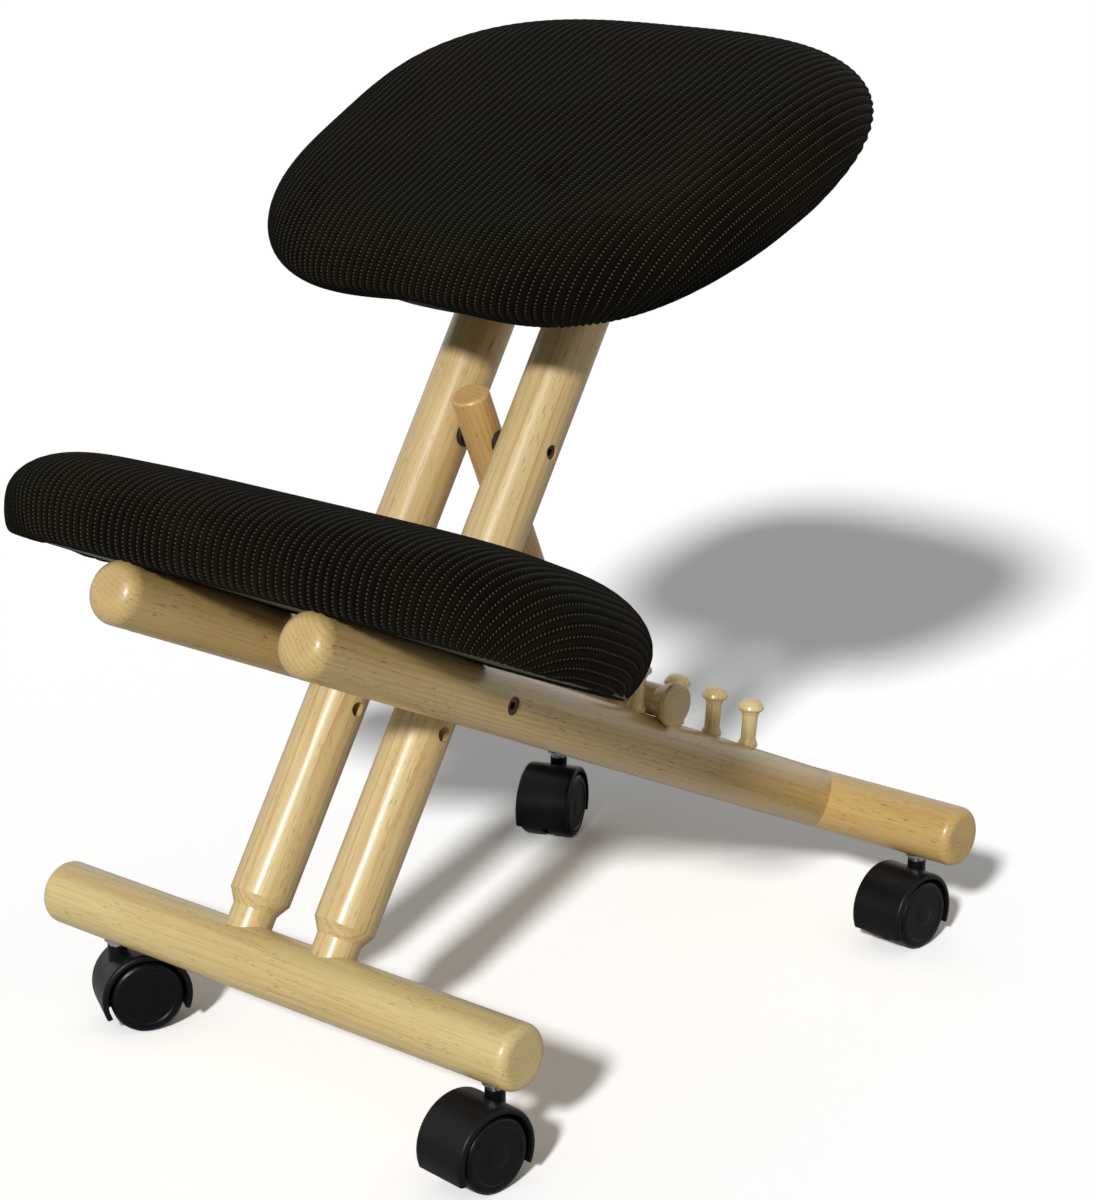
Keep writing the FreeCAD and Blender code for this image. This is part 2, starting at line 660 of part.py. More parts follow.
def caster(name, axis, x, turn):
    """Five nodes for one caster; turn is the swivel angle of its trail from -Y."""
    a = math.radians(turn)
    trail_way = Vector(math.sin(a), -math.cos(a), 0)
    axle_way = Vector(math.cos(a), math.sin(a), 0)
    stem_foot = Vector(axis.x + x, axis.y, 0)
    axle_centre = stem_foot + trail_way * caster_trail + Z_AXIS * (wheel_dia / 2)

    hood = hood_shell(axle_centre, trail_way, axle_way)
    neck_top = stem_seat - stem_collar_height - soft_gap
    neck_bottom = wheel_dia / 2 + hood_gap + 14.0
    neck = rod(stem_foot + Z_AXIS * neck_bottom, Z_AXIS, neck_top - neck_bottom, neck_dia / 2)
    for side in (-1, 1):
        well = rod(axle_centre + axle_way * (side * web_thickness / 2), axle_way * side,
                   caster_width, wheel_dia / 2 + hood_gap)
        neck = neck.cut(well)
    hood = hood.fuse(neck).removeSplitter()
    hole_bottom = neck_bottom + 2.0
    hood = hood.cut(rod(stem_foot + Z_AXIS * hole_bottom, Z_AXIS, 60.0, stem_dia / 2))
    hood = hood.cut(rod(axle_centre - axle_way * caster_width, axle_way, 2 * caster_width, axle_dia / 2))
    pieces["hood_" + name] = hood.Solids[0]

    stem_top = stem_seat + socket_length - 3.0
    stem = rod(stem_foot + Z_AXIS * hole_bottom, Z_AXIS, stem_top - hole_bottom, stem_dia / 2)
    collar = rod(stem_foot + Z_AXIS * (stem_seat - soft_gap - stem_collar_height), Z_AXIS,
                 stem_collar_height, stem_collar_dia / 2)
    stem = stem.fuse(collar).removeSplitter()
    for side in (-1, 1):
        well = rod(axle_centre + axle_way * (side * web_thickness / 2), axle_way * side,
                   caster_width, wheel_dia / 2 + hood_gap)
        stem = stem.cut(well)
    pieces["stem_" + name] = stem.Solids[0]

    axle = rod(axle_centre - axle_way * (axle_length / 2), axle_way, axle_length, axle_dia / 2)
    pieces["axle_" + name] = axle
    bore_half = axle_length / 2 + 0.5
    bore = rod(axle_centre - axle_way * bore_half, axle_way, 2 * bore_half, axle_dia / 2 + running_gap)
    for label, way in (("inner", axle_way * -1), ("outer", axle_way)):
        pieces["wheel_" + name + "_" + label] = turned(wheel_profile(), axle_centre, way).cut(bore)


caster_sets = (
    ("front", front_axis, front_caster_insets, front_caster_turns),
    ("rear", rear_axis, rear_caster_insets, rear_caster_turns),
)
for end, axis, insets, turns in caster_sets:
    pieces["sockets_" + end] = group([socket(axis, x) for side, x in caster_sides(insets)])
    for side, x in caster_sides(insets):
        caster(end + "_" + side, axis, x, turns[side])

# The origin goes to the floor under the middle of the whole chair, whose two sides match

box = Part.makeCompound(list(pieces.values())).optimalBoundingBox(False)
shift = Vector(0, -(box.YMin + box.YMax) / 2, -box.ZMin)
for name, shape in pieces.items():
    shape.translate(shift)
    shape.exportStep("parts/" + name + ".step")
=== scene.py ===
"""Kneeling chair: crossed frames of lacquered beech rounds on casters, with two knit-covered cushions.

Metres, +Z up, the knee cushion faces -Y. Sizes that the frame holds are read from it.
"""

import json
import math

import bpy
import numpy as np
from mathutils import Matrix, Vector


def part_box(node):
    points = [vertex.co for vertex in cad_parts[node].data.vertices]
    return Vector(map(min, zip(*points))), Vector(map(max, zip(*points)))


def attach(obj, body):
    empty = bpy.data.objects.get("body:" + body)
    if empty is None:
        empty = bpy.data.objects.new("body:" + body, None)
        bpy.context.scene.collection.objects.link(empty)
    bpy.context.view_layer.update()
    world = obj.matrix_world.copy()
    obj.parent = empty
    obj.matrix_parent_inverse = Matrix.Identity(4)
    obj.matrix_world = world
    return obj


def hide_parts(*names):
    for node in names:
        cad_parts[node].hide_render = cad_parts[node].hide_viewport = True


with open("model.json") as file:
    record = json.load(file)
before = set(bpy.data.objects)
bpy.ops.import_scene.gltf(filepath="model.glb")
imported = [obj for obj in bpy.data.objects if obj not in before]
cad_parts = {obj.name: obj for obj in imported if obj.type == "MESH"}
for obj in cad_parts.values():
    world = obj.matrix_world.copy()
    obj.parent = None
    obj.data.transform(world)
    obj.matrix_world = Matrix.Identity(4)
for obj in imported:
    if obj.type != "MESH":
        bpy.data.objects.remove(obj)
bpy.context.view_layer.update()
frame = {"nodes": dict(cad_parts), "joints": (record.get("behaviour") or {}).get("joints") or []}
nodes = frame["nodes"]

# The camera that took the picture, found from the edges of the frame.
# It stands in front of the chair, to its right, and looks down on it a little.

camera_data = bpy.data.cameras.new("camera")
camera_data.sensor_fit = "VERTICAL"
camera_data.sensor_height = 36.0
camera_data.lens = 93.05
camera_data.clip_end = 60.0
camera = bpy.data.objects.new("camera", camera_data)
camera.location = (1.3171, -1.5035, 0.8885)
camera.rotation_euler = (math.radians(90.0 - 16.91), 0.0, math.radians(40.32))
bpy.context.scene.collection.objects.link(camera)
bpy.context.scene.camera = camera
bpy.context.scene.view_settings.view_transform = "Standard"


# The studio: a white floor, a broad soft sun from the front and a pale sky that fills the shadows.
# To the camera and to gloss the sky is plain white.

def add_node(tree, kind, **settings):
    """A new node with its properties set."""
    made = tree.nodes.new(kind)
    for name, value in settings.items():
        setattr(made, name, value)
    return made


def feed(tree, socket, value):
    """Gives an input either a link or a constant."""
    if isinstance(value, bpy.types.NodeSocket):
        tree.links.new(value, socket)
    else:
        socket.default_value = value


def maths(tree, operation, first, second=0.0, third=0.0, clamp=False):
    """The result of one Math node."""
    made = add_node(tree, "ShaderNodeMath", operation=operation, use_clamp=clamp)
    for socket, value in zip(made.inputs, (first, second, third)):
        feed(tree, socket, value)
    return made.outputs[0]


sun_height = math.radians(30.0)
sun_side = math.radians(24.0)
sun_data = bpy.data.lights.new("sun", "SUN")
sun_data.energy = 2.55
sun_data.angle = math.radians(5.0)
sun = bpy.data.objects.new("sun", sun_data)
sun.rotation_euler = (math.radians(90.0) - sun_height, 0.0, sun_side)
bpy.context.scene.collection.objects.link(sun)

sky = bpy.data.worlds.new("sky")
sky.use_nodes = True
sky_tree = sky.node_tree
sky_path = add_node(sky_tree, "ShaderNodeLightPath")
seen_white = maths(sky_tree, "MAXIMUM", sky_path.outputs["Is Camera Ray"],
                   sky_path.outputs["Is Transmission Ray"])
seen_white = maths(sky_tree, "MAXIMUM", seen_white, sky_path.outputs["Is Glossy Ray"])
sky_fill = 0.18
sky_strength = maths(sky_tree, "MULTIPLY_ADD", seen_white, 1.0 - sky_fill, sky_fill)
feed(sky_tree, sky_tree.nodes["Background"].inputs["Color"], (1.0, 1.0, 1.0, 1.0))
feed(sky_tree, sky_tree.nodes["Background"].inputs["Strength"], sky_strength)
bpy.context.scene.world = sky

floor_mesh = bpy.data.meshes.new("floor")
floor_reach = 40.0
floor_drop = 0.0004
floor_mesh.from_pydata(
    [(x * floor_reach, y * floor_reach, -floor_drop) for x, y in ((-1, -1), (1, -1), (1, 1), (-1, 1))],
    [], [(0, 1, 2, 3)])
floor = bpy.data.objects.new("floor", floor_mesh)
bpy.context.scene.collection.objects.link(floor)
floor_finish = bpy.data.materials.new("floor_white")
floor_finish.use_nodes = True
floor_tree = floor_finish.node_tree
floor_tree.nodes.clear()
floor_path = add_node(floor_tree, "ShaderNodeLightPath")
floor_white = 0.75
floor_seen_more = 0.97
floor_level = maths(floor_tree, "MULTIPLY_ADD", floor_path.outputs["Is Camera Ray"],
                    floor_seen_more, floor_white)
floor_colour = add_node(floor_tree, "ShaderNodeCombineColor")
for channel in ("Red", "Green", "Blue"):
    feed(floor_tree, floor_colour.inputs[channel], floor_level)
floor_diffuse = add_node(floor_tree, "ShaderNodeBsdfDiffuse")
feed(floor_tree, floor_diffuse.inputs["Color"], floor_colour.outputs["Color"])
floor_output = add_node(floor_tree, "ShaderNodeOutputMaterial")
feed(floor_tree, floor_output.inputs["Surface"], floor_diffuse.outputs["BSDF"])
floor_mesh.materials.append(floor_finish)


# Beech: pale steamed rounds under clear satin lacquer, with faint orange growth rings,
# fine fibres and the short dark flecks that mark beech. The rings are arcs on a cut end.

def paint(red, green, blue):
    """A colour from its usual 0 to 255 values, as the shader wants it."""
    parts = []
    full = 255.0
    for part in (red, green, blue):
        level = part / full
        parts.append(level / 12.92 if level <= 0.04045 else ((level + 0.055) / 1.055) ** 2.4)
    return (*parts, 1.0)


def blend_colours(tree, factor, first, second, mode="MIX"):
    """The colour output of one Mix node."""
    made = add_node(tree, "ShaderNodeMix", data_type="RGBA", blend_type=mode)
    feed(tree, made.inputs[0], factor)
    feed(tree, made.inputs[6], first)
    feed(tree, made.inputs[7], second)
    return made.outputs[2]


def scaled_noise(tree, vector, scale, detail=2.0, roughness=0.5):
    """Noise whose frequency differs along the three axes; scale is in cycles per metre."""
    stretch = add_node(tree, "ShaderNodeVectorMath", operation="MULTIPLY")
    feed(tree, stretch.inputs[0], vector)
    feed(tree, stretch.inputs[1], scale)
    made = add_node(tree, "ShaderNodeTexNoise")
    feed(tree, made.inputs["Vector"], stretch.outputs[0])
    feed(tree, made.inputs["Scale"], 1.0)
    feed(tree, made.inputs["Detail"], detail)
    feed(tree, made.inputs["Roughness"], roughness)
    return made.outputs["Fac"]


def ramp(tree, value, low, high):
    """0 below low and 1 above high, with a smooth step between."""
    made = add_node(tree, "ShaderNodeMapRange", interpolation_type="SMOOTHSTEP")
    feed(tree, made.inputs["Value"], value)
    feed(tree, made.inputs["From Min"], low)
    feed(tree, made.inputs["From Max"], high)
    return made.outputs["Result"]


def new_group(name, inputs, outputs):
    """An empty shader group with its sockets: name, kind and default of each."""
    tree = bpy.data.node_groups.new(name, "ShaderNodeTree")
    for label, kind, default in inputs:
        socket = tree.interface.new_socket(label, in_out="INPUT", socket_type=kind)
        if default is not None:
            socket.default_value = default
    for label, kind in outputs:
        tree.interface.new_socket(label, in_out="OUTPUT", socket_type=kind)
    return tree, tree.nodes.new("NodeGroupInput").outputs, tree.nodes.new("NodeGroupOutput").inputs


def make_beech_grain():
    """Growth rings, fibres and flecks of a round whose grain runs along Z."""
    tree, given, out = new_group(
        "beech_grain",
        [("Vector", "NodeSocketVector", None),
         ("Pale", "NodeSocketColor", paint(222, 205, 154)),
         ("Ring", "NodeSocketColor", paint(196, 155, 96)),
         ("Ring Pitch", "NodeSocketFloat", 0.0034),
         ("Ring Strength", "NodeSocketFloat", 0.5),
         ("Fleck Strength", "NodeSocketFloat", 0.6)],
        [("Color", "NodeSocketColor"), ("Roughness", "NodeSocketFloat"), ("Height", "NodeSocketFloat")])
    place = given["Vector"]
    drift = scaled_noise(tree, place, (14.0, 14.0, 2.2), 3.0)
    drift = maths(tree, "MULTIPLY", maths(tree, "SUBTRACT", drift, 0.5), 0.014)
    flat = add_node(tree, "ShaderNodeVectorMath", operation="MULTIPLY")
    feed(tree, flat.inputs[0], place)
    feed(tree, flat.inputs[1], (1.0, 1.0, 0.0))
    distance = add_node(tree, "ShaderNodeVectorMath", operation="LENGTH")
    feed(tree, distance.inputs[0], flat.outputs[0])
    radius = maths(tree, "ADD", distance.outputs["Value"], drift)
    phase = maths(tree, "FRACT", maths(tree, "DIVIDE", radius, given["Ring Pitch"]))
    late = maths(tree, "POWER", phase, 3.0)
    early = ramp(tree, phase, 0.0, 0.10)
    ring = maths(tree, "MULTIPLY", late, early)
    patch = scaled_noise(tree, place, (30.0, 30.0, 4.0), 2.0)
    ring = maths(tree, "MULTIPLY", ring, ramp(tree, patch, 0.30, 0.65))
    ring = maths(tree, "MULTIPLY", ring, given["Ring Strength"])
    fibre = scaled_noise(tree, place, (900.0, 900.0, 22.0), 3.0, 0.6)
    broad = scaled_noise(tree, place, (26.0, 26.0, 3.0), 2.0)
    fleck = scaled_noise(tree, place, (860.0, 860.0, 130.0), 1.0, 0.4)
    fleck = ramp(tree, fleck, 0.61, 0.74)
    fleck_area = ramp(tree, scaled_noise(tree, place, (60.0, 60.0, 16.0), 1.0), 0.30, 0.62)
    fleck = maths(tree, "MULTIPLY", maths(tree, "MULTIPLY", fleck, fleck_area), given["Fleck Strength"])
    colour = blend_colours(tree, ring, given["Pale"], given["Ring"])
    colour = blend_colours(tree, maths(tree, "MULTIPLY", ramp(tree, broad, 0.35, 0.75), 0.35),
                           colour, given["Ring"])
    colour = blend_colours(tree, maths(tree, "MULTIPLY", ramp(tree, fibre, 0.45, 0.80), 0.40),
                           colour, paint(158, 112, 62))
    colour = blend_colours(tree, fleck, colour, paint(112, 76, 40))
    feed(tree, out["Color"], colour)
    feed(tree, out["Roughness"], maths(tree, "MULTIPLY_ADD", fibre, 0.16, 0.30))
    height = maths(tree, "MULTIPLY_ADD", fleck, -0.6, maths(tree, "MULTIPLY", fibre, 0.5))
    feed(tree, out["Height"], height)
    return tree


beech_grain = make_beech_grain()


def beech(name, turn, pith, pale, ring, strength=0.5, flecks=0.6):
    """One beech finish; turn brings the grain onto Z and pith moves the rings' centre off the piece."""
    finish = bpy.data.materials.new(name)
    finish.use_nodes = True
    tree = finish.node_tree
    shader = tree.nodes["Principled BSDF"]
    coordinates = add_node(tree, "ShaderNodeTexCoord")
    mapping = add_node(tree, "ShaderNodeMapping")
    feed(tree, mapping.inputs["Vector"], coordinates.outputs["Object"])
    feed(tree, mapping.inputs["Rotation"], turn)
    feed(tree, mapping.inputs["Location"], pith)
    grain = add_node(tree, "ShaderNodeGroup", node_tree=beech_grain)
    feed(tree, grain.inputs["Vector"], mapping.outputs["Vector"])
    feed(tree, grain.inputs["Pale"], pale)
    feed(tree, grain.inputs["Ring"], ring)
    feed(tree, grain.inputs["Ring Strength"], strength)
    feed(tree, grain.inputs["Fleck Strength"], flecks)
    bump = add_node(tree, "ShaderNodeBump")
    feed(tree, bump.inputs["Strength"], 0.25)
    feed(tree, bump.inputs["Distance"], 0.0004)
    feed(tree, bump.inputs["Height"], grain.outputs["Height"])
    feed(tree, shader.inputs["Base Color"], grain.outputs["Color"])
    feed(tree, shader.inputs["Roughness"], grain.outputs["Roughness"])
    feed(tree, shader.inputs["Normal"], bump.outputs["Normal"])
    shader.inputs["Coat Weight"].default_value = 0.30
    shader.inputs["Coat Roughness"].default_value = 0.17
    return finish


def dress(node, finish):
    """Gives a carried-over solid its finish."""
    mesh = nodes[node].data
    mesh.materials.clear()
    mesh.materials.append(finish)


def middle(node):
    """The centre of a solid's box."""
    low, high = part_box(node)
    return (low + high) / 2


# The two cross bars: 43 mm rounds with softly rounded ends, one under the posts and one behind.
# Their grain runs along X, and the cut ends show the rings.

grain_along_x = (0.0, math.radians(-90.0), 0.0)
front_axis = middle("front_bar")
rear_axis = middle("rear_bar")


def pith_for_bar(axis, off_y, off_z):
    """Where the rings' centre goes for a bar along X, after the turn has put X on Z."""
    return (axis.z + off_z, -axis.y + off_y, 0.0)


dress("front_bar", beech("beech_front_bar", grain_along_x, pith_for_bar(front_axis, 0.006, 0.012),
                         paint(217, 196, 136), paint(194, 158, 94), 0.55, 0.45))
dress("rear_bar", beech("beech_rear_bar", grain_along_x, pith_for_bar(rear_axis, 0.010, -0.014),
                        paint(202, 169, 103), paint(176, 126, 64), 0.75, 0.50))

# The posts: two 41 mm rounds turned down at the foot, leaning back to the seat.
# Straight orange ring lines run up them.

hinge = {joint["name"]: joint for joint in frame["joints"]}
pivot = Vector(hinge["fold"]["pos_m"])
strut_bolt = Vector(hinge["strut_swing"]["pos_m"])
post_way = (Vector((0.0, pivot.y, pivot.z)) - Vector((0.0, front_axis.y, front_axis.z))).normalized()
post_turn = (math.atan2(post_way.y, post_way.z), 0.0, 0.0)
for side, shift in (("left", 0.21), ("right", 0.12)):
    dress("post_" + side, beech("beech_post_" + side, post_turn, (shift, 0.045, shift),
                                paint(220, 197, 140), paint(186, 134, 72), 0.85, 0.45))

# The rails: two 42 mm rounds coped onto the rear bar and rising forwards under the knee rest.

rail_way = (Vector((0.0, pivot.y, pivot.z)) - Vector((0.0, rear_axis.y, rear_axis.z))).normalized()
rail_turn = (math.atan2(rail_way.y, rail_way.z), 0.0, 0.0)
for side, shift in (("left", 0.16), ("right", 0.075)):
    dress("rail_" + side, beech("beech_rail_" + side, rail_turn, (shift, 0.030, shift),
                                paint(207, 180, 120), paint(174, 130, 72), 0.6, 0.65))

# Pegs: turned beech pins with a bead and a round cap, glued upright into the rails.
# The cross bar lies in the notches between them.

peg_finish = beech("beech_pegs", (math.radians(7.0), 0.0, 0.0), (0.02, 0.02, 0.0),
                   paint(228, 206, 146), paint(200, 158, 92), 0.45, 0.35)
for side in ("left", "right"):
    dress("pegs_" + side, peg_finish)

# The strut and the turned cross bar that it stands in, with the cleat that holds the seat board.
# The strut is a redder stick than the posts.

strut_way = (middle("cross_bar") - strut_bolt).normalized()
strut_turn = (math.atan2(strut_way.y, strut_way.z), 0.0, 0.0)
dress("strut", beech("beech_strut", strut_turn, (0.02, 0.03, 0.0),
                     paint(224, 184, 118), paint(186, 128, 70), 0.8, 0.4))
dress("cross_bar", beech("beech_cross_bar", grain_along_x,
                         pith_for_bar(middle("cross_bar"), 0.004, 0.004),
                         paint(206, 182, 126), paint(170, 128, 76), 0.6, 0.8))
dress("seat_cleat", beech("beech_cleat", grain_along_x, (0.6, 0.1, 0.0),
                          paint(206, 182, 130), paint(180, 140, 86), 0.5, 0.5))


# Fixings: browned steel bolts deep in their recesses with their nuts, plain wood screws,
# and black nylon rings that keep the rounds apart.

def metal(name, colour, roughness, grain, dark):
    """Steel with a fine brushed grain; dark is the share of brown or grey stain in it."""
    finish = bpy.data.materials.new(name)
    finish.use_nodes = True
    tree = finish.node_tree
    shader = tree.nodes["Principled BSDF"]
    coordinates = add_node(tree, "ShaderNodeTexCoord")
    brush = scaled_noise(tree, coordinates.outputs["Object"], grain, 3.0)
    stain = scaled_noise(tree, coordinates.outputs["Object"], (260.0, 260.0, 260.0), 2.0)
    tint = blend_colours(tree, maths(tree, "MULTIPLY", ramp(tree, stain, 0.4, 0.7), dark),
                         colour, paint(60, 44, 30))
    feed(tree, shader.inputs["Base Color"], tint)
    feed(tree, shader.inputs["Roughness"], maths(tree, "MULTIPLY_ADD", brush, 0.2, roughness - 0.1))
    bump = add_node(tree, "ShaderNodeBump")
    feed(tree, bump.inputs["Strength"], 0.15)
    feed(tree, bump.inputs["Distance"], 0.0002)
    feed(tree, bump.inputs["Height"], brush)
    feed(tree, shader.inputs["Normal"], bump.outputs["Normal"])
    shader.inputs["Metallic"].default_value = 1.0
    return finish


browned_steel = metal("browned_steel", paint(92, 78, 64), 0.45, (500.0, 2400.0, 2400.0), 0.7)
plain_steel = metal("plain_steel", paint(196, 196, 192), 0.34, (500.0, 2400.0, 2400.0), 0.1)
zinc_steel = metal("zinc_steel", paint(186, 190, 192), 0.28, (1500.0, 1500.0, 200.0), 0.1)
for name in ("pivot_bolts", "strut_bolt", "rail_bolts", "pivot_nuts", "strut_nut"):
    dress(name, browned_steel)
for name in ("seat_screws", "post_screws", "knee_screws"):
    dress(name, plain_steel)


def moulded(name, colour, roughness, speck):
    """Moulded nylon: an even colour, faint mottling and the fine sand grain of the mould."""
    finish = bpy.data.materials.new(name)
    finish.use_nodes = True
    tree = finish.node_tree
    shader = tree.nodes["Principled BSDF"]
    coordinates = add_node(tree, "ShaderNodeTexCoord")
    sand = scaled_noise(tree, coordinates.outputs["Object"], (speck, speck, speck), 2.0, 0.6)
    cloud = scaled_noise(tree, coordinates.outputs["Object"], (90.0, 90.0, 90.0), 2.0)
    tint = blend_colours(tree, maths(tree, "MULTIPLY", ramp(tree, sand, 0.52, 0.75), 0.6),
                         colour, paint(42, 43, 46))
    feed(tree, shader.inputs["Base Color"], tint)
    feed(tree, shader.inputs["Roughness"], maths(tree, "MULTIPLY_ADD", cloud, 0.16, roughness - 0.08))
    bump = add_node(tree, "ShaderNodeBump")
    feed(tree, bump.inputs["Strength"], 0.3)
    feed(tree, bump.inputs["Distance"], 0.0002)
    feed(tree, bump.inputs["Height"], sand)
    feed(tree, shader.inputs["Normal"], bump.outputs["Normal"])
    shader.inputs["Specular IOR Level"].default_value = 0.15
    return finish


spacer_nylon = moulded("spacer_nylon", paint(46, 42, 38), 0.5, 1200.0)
for name in ("pivot_spacers", "strut_spacers"):
    dress(name, spacer_nylon)

# Casters: twin wheels under a moulded hood, all black nylon, on a zinc plated stem
# that is pressed into a socket in the bar.

caster_nylon = moulded("caster_nylon", paint(11, 11, 13), 0.36, 1500.0)
wheel_nylon = moulded("wheel_nylon", paint(7, 7, 9), 0.32, 1700.0)
caster_names = [end + "_" + side for end in ("front", "rear") for side in ("left", "right")]
for caster in caster_names:
    dress("hood_" + caster, caster_nylon)
    dress("stem_" + caster, zinc_steel)
    dress("axle_" + caster, plain_steel)
    for wheel in ("inner", "outer"):
        dress("wheel_" + caster + "_" + wheel, wheel_nylon)
for end in ("front", "rear"):
    dress("sockets_" + end, zinc_steel)


# Cushion boards: plywood stained black, screwed to the frame.
# They are seen only as a thin edge under each cushion.

def stained_ply():
    """Thin black stain over the fibres of the outer ply."""
    finish = bpy.data.materials.new("stained_ply")
    finish.use_nodes = True
    tree = finish.node_tree
    shader = tree.nodes["Principled BSDF"]
    coordinates = add_node(tree, "ShaderNodeTexCoord")
    fibre = scaled_noise(tree, coordinates.outputs["Object"], (40.0, 700.0, 700.0), 3.0)
    tint = blend_colours(tree, fibre, paint(38, 35, 36), paint(64, 60, 60))
    feed(tree, shader.inputs["Base Color"], tint)
    feed(tree, shader.inputs["Roughness"], maths(tree, "MULTIPLY_ADD", fibre, 0.2, 0.45))
    bump = add_node(tree, "ShaderNodeBump")
    feed(tree, bump.inputs["Strength"], 0.3)
    feed(tree, bump.inputs["Distance"], 0.0004)
    feed(tree, bump.inputs["Height"], fibre)
    feed(tree, shader.inputs["Normal"], bump.outputs["Normal"])
    return finish


board_finish = stained_ply()
for name in ("seat_board", "knee_board"):
    dress(name, board_finish)


# Cushions: moulded foam in a black ribbed knit, pulled tight over the edge and held under the board.
# The ribs run fore and aft, stand up a little, and have a light dotted thread in each furrow.

def make_rib_knit():
    """Knit seen on its own map: U counts ribs, V is millimetres along a rib."""
    tree, given, out = new_group(
        "rib_knit",
        [("Vector", "NodeSocketVector", None),
         ("Place", "NodeSocketVector", None)],
        [("Color", "NodeSocketColor"), ("Roughness", "NodeSocketFloat"), ("Height", "NodeSocketFloat")])
    split = add_node(tree, "ShaderNodeSeparateXYZ")
    feed(tree, split.inputs[0], given["Vector"])
    across = split.outputs["X"]
    along = split.outputs["Y"]
    turn = maths(tree, "MULTIPLY", across, 2.0 * math.pi)
    crest = maths(tree, "MULTIPLY_ADD", maths(tree, "COSINE", turn), 0.5, 0.5)
    furrow = ramp(tree, crest, 0.16, 0.02)
    stitch_pitch = 2.6
    loop_pitch = 1.3
    stitch = maths(tree, "SINE", maths(tree, "MULTIPLY", along, 2.0 * math.pi / stitch_pitch))
    wander = scaled_noise(tree, given["Vector"], (3.0, 0.5, 1.0), 1.0)
    dots = ramp(tree, maths(tree, "ADD", stitch, maths(tree, "MULTIPLY", wander, 0.8)), 0.35, 0.95)
    thread = maths(tree, "MULTIPLY", furrow, dots)
    tint_area = ramp(tree, scaled_noise(tree, given["Place"], (9.0, 9.0, 9.0), 2.0), 0.35, 0.65)
    green_area = ramp(tree, scaled_noise(tree, given["Place"], (5.0, 7.0, 6.0), 1.0), 0.45, 0.6)
    rib_tint = blend_colours(tree, green_area, paint(27, 19, 8), paint(17, 19, 10))
    rib_tint = blend_colours(tree, tint_area, paint(12, 10, 7), rib_tint)
    loops = maths(tree, "MULTIPLY", maths(tree, "SINE", maths(tree, "MULTIPLY", across, 10.0 * math.pi)),
                  maths(tree, "SINE", maths(tree, "MULTIPLY", along, 2.0 * math.pi / loop_pitch)))
    # Near black in each furrow and the yarn's tint on each crest: the dark furrows are painted shade
    # between the ribs, the crest tint is the yarn's own colour.
    colour = blend_colours(tree, crest, paint(5, 4, 3), rib_tint)
    colour = blend_colours(tree, maths(tree, "MULTIPLY", ramp(tree, loops, 0.0, 1.0), 0.35),
                           colour, paint(26, 22, 14))
    colour = blend_colours(tree, thread, colour, paint(74, 70, 53))
    feed(tree, out["Color"], colour)
    feed(tree, out["Roughness"], maths(tree, "MULTIPLY_ADD", crest, -0.1, 0.92))
    feed(tree, out["Height"], maths(tree, "MULTIPLY_ADD", loops, 0.3, maths(tree, "MULTIPLY", thread, 0.5)))
    return tree


rib_knit = make_rib_knit()


def knit_finish():
    """The knit as a cloth: dull, with nearly no gloss, on the cover's own map."""
    finish = bpy.data.materials.new("rib_knit_black")
    finish.use_nodes = True
    tree = finish.node_tree
    shader = tree.nodes["Principled BSDF"]
    knit_map = add_node(tree, "ShaderNodeUVMap", uv_map="knit")
    coordinates = add_node(tree, "ShaderNodeTexCoord")
    knit = add_node(tree, "ShaderNodeGroup", node_tree=rib_knit)
    feed(tree, knit.inputs["Vector"], knit_map.outputs["UV"])
    feed(tree, knit.inputs["Place"], coordinates.outputs["Object"])
    bump = add_node(tree, "ShaderNodeBump")
    feed(tree, bump.inputs["Strength"], 0.6)
    feed(tree, bump.inputs["Distance"], 0.0006)
    feed(tree, bump.inputs["Height"], knit.outputs["Height"])
    feed(tree, shader.inputs["Base Color"], knit.outputs["Color"])
    feed(tree, shader.inputs["Roughness"], knit.outputs["Roughness"])
    feed(tree, shader.inputs["Normal"], bump.outputs["Normal"])
    shader.inputs["Specular IOR Level"].default_value = 0.02
    shader.inputs["Sheen Weight"].default_value = 0.02
    return finish


cushion_knit = knit_finish()


rib_pitch = 0.0067
rib_height = 0.0010


def edge_profile(roll, underturn, widest, top, bottom):
    """Run, inset and height of a cover's edge, from where the top begins round to its rim below."""
    steps = 96
    underturn_fullness = 1.3
    angle = np.linspace(math.pi / 2, -math.pi / 2, steps)
    across = np.cos(angle)
    rise = np.abs(np.sin(angle))
    upper = angle >= 0
    inset = np.where(upper, roll * (1 - across), underturn * (1 - across ** underturn_fullness))
    height = np.where(upper, widest + (top - widest) * rise,
                      widest - (widest - bottom) * rise ** underturn_fullness)
    run = np.concatenate([[0.0], np.cumsum(np.hypot(np.diff(inset), np.diff(height)))])
    return run, inset, height


def top_edge(half_width, half_depth, squareness):
    """The outline where the top begins to roll over: points and outward normals."""
    steps = 1440
    turn = (np.arange(steps) + 0.5) / steps * 2 * np.pi
    c = np.cos(turn)
    s = np.sin(turn)
    x = half_width * np.sign(c) * np.abs(c) ** (2 / squareness)
    y = half_depth * np.sign(s) * np.abs(s) ** (2 / squareness)
    out_x = np.sign(x) * np.abs(x / half_width) ** (squareness - 1) / half_width
    out_y = np.sign(y) * np.abs(y / half_depth) ** (squareness - 1) / half_depth
    length = np.hypot(out_x, out_y)
    return x, y, out_x / length, out_y / length


